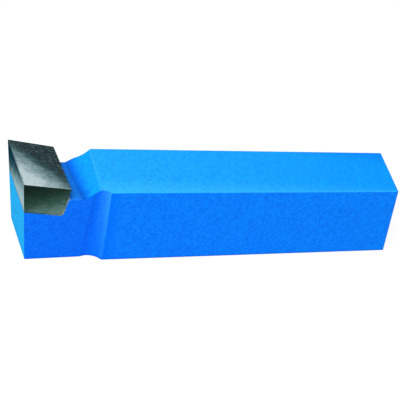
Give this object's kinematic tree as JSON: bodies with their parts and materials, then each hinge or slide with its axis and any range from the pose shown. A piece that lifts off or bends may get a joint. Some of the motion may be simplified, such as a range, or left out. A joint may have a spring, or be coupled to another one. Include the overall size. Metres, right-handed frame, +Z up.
{
  "type": "brazed lathe turning tool",
  "caption": "Square-shank turning tool with a wide brazed carbide tip across its ground front end, for facing and plunge turning on a lathe.",
  "frame": {"origin": "on the base face, halfway from the cutting edge to the middle of the cropped end, and in the middle of the width", "axes": "+X along the shank from the cutting edge to the cropped end, +Y across towards the far flank, +Z up from the base to the clamped top face"},
  "size_m": [0.1765, 0.032, 0.0355],
  "materials": {
    "shank_paint": "semi-gloss blue paint on steel",
    "ground_carbide": "ground dark grey carbide",
    "braze": "dull brass braze"
  },
  "bodies": {
    "root": {"shank": "shank_paint", "carbide_tip": "ground_carbide", "braze_seam": "braze"}
  },
  "joints": []
}
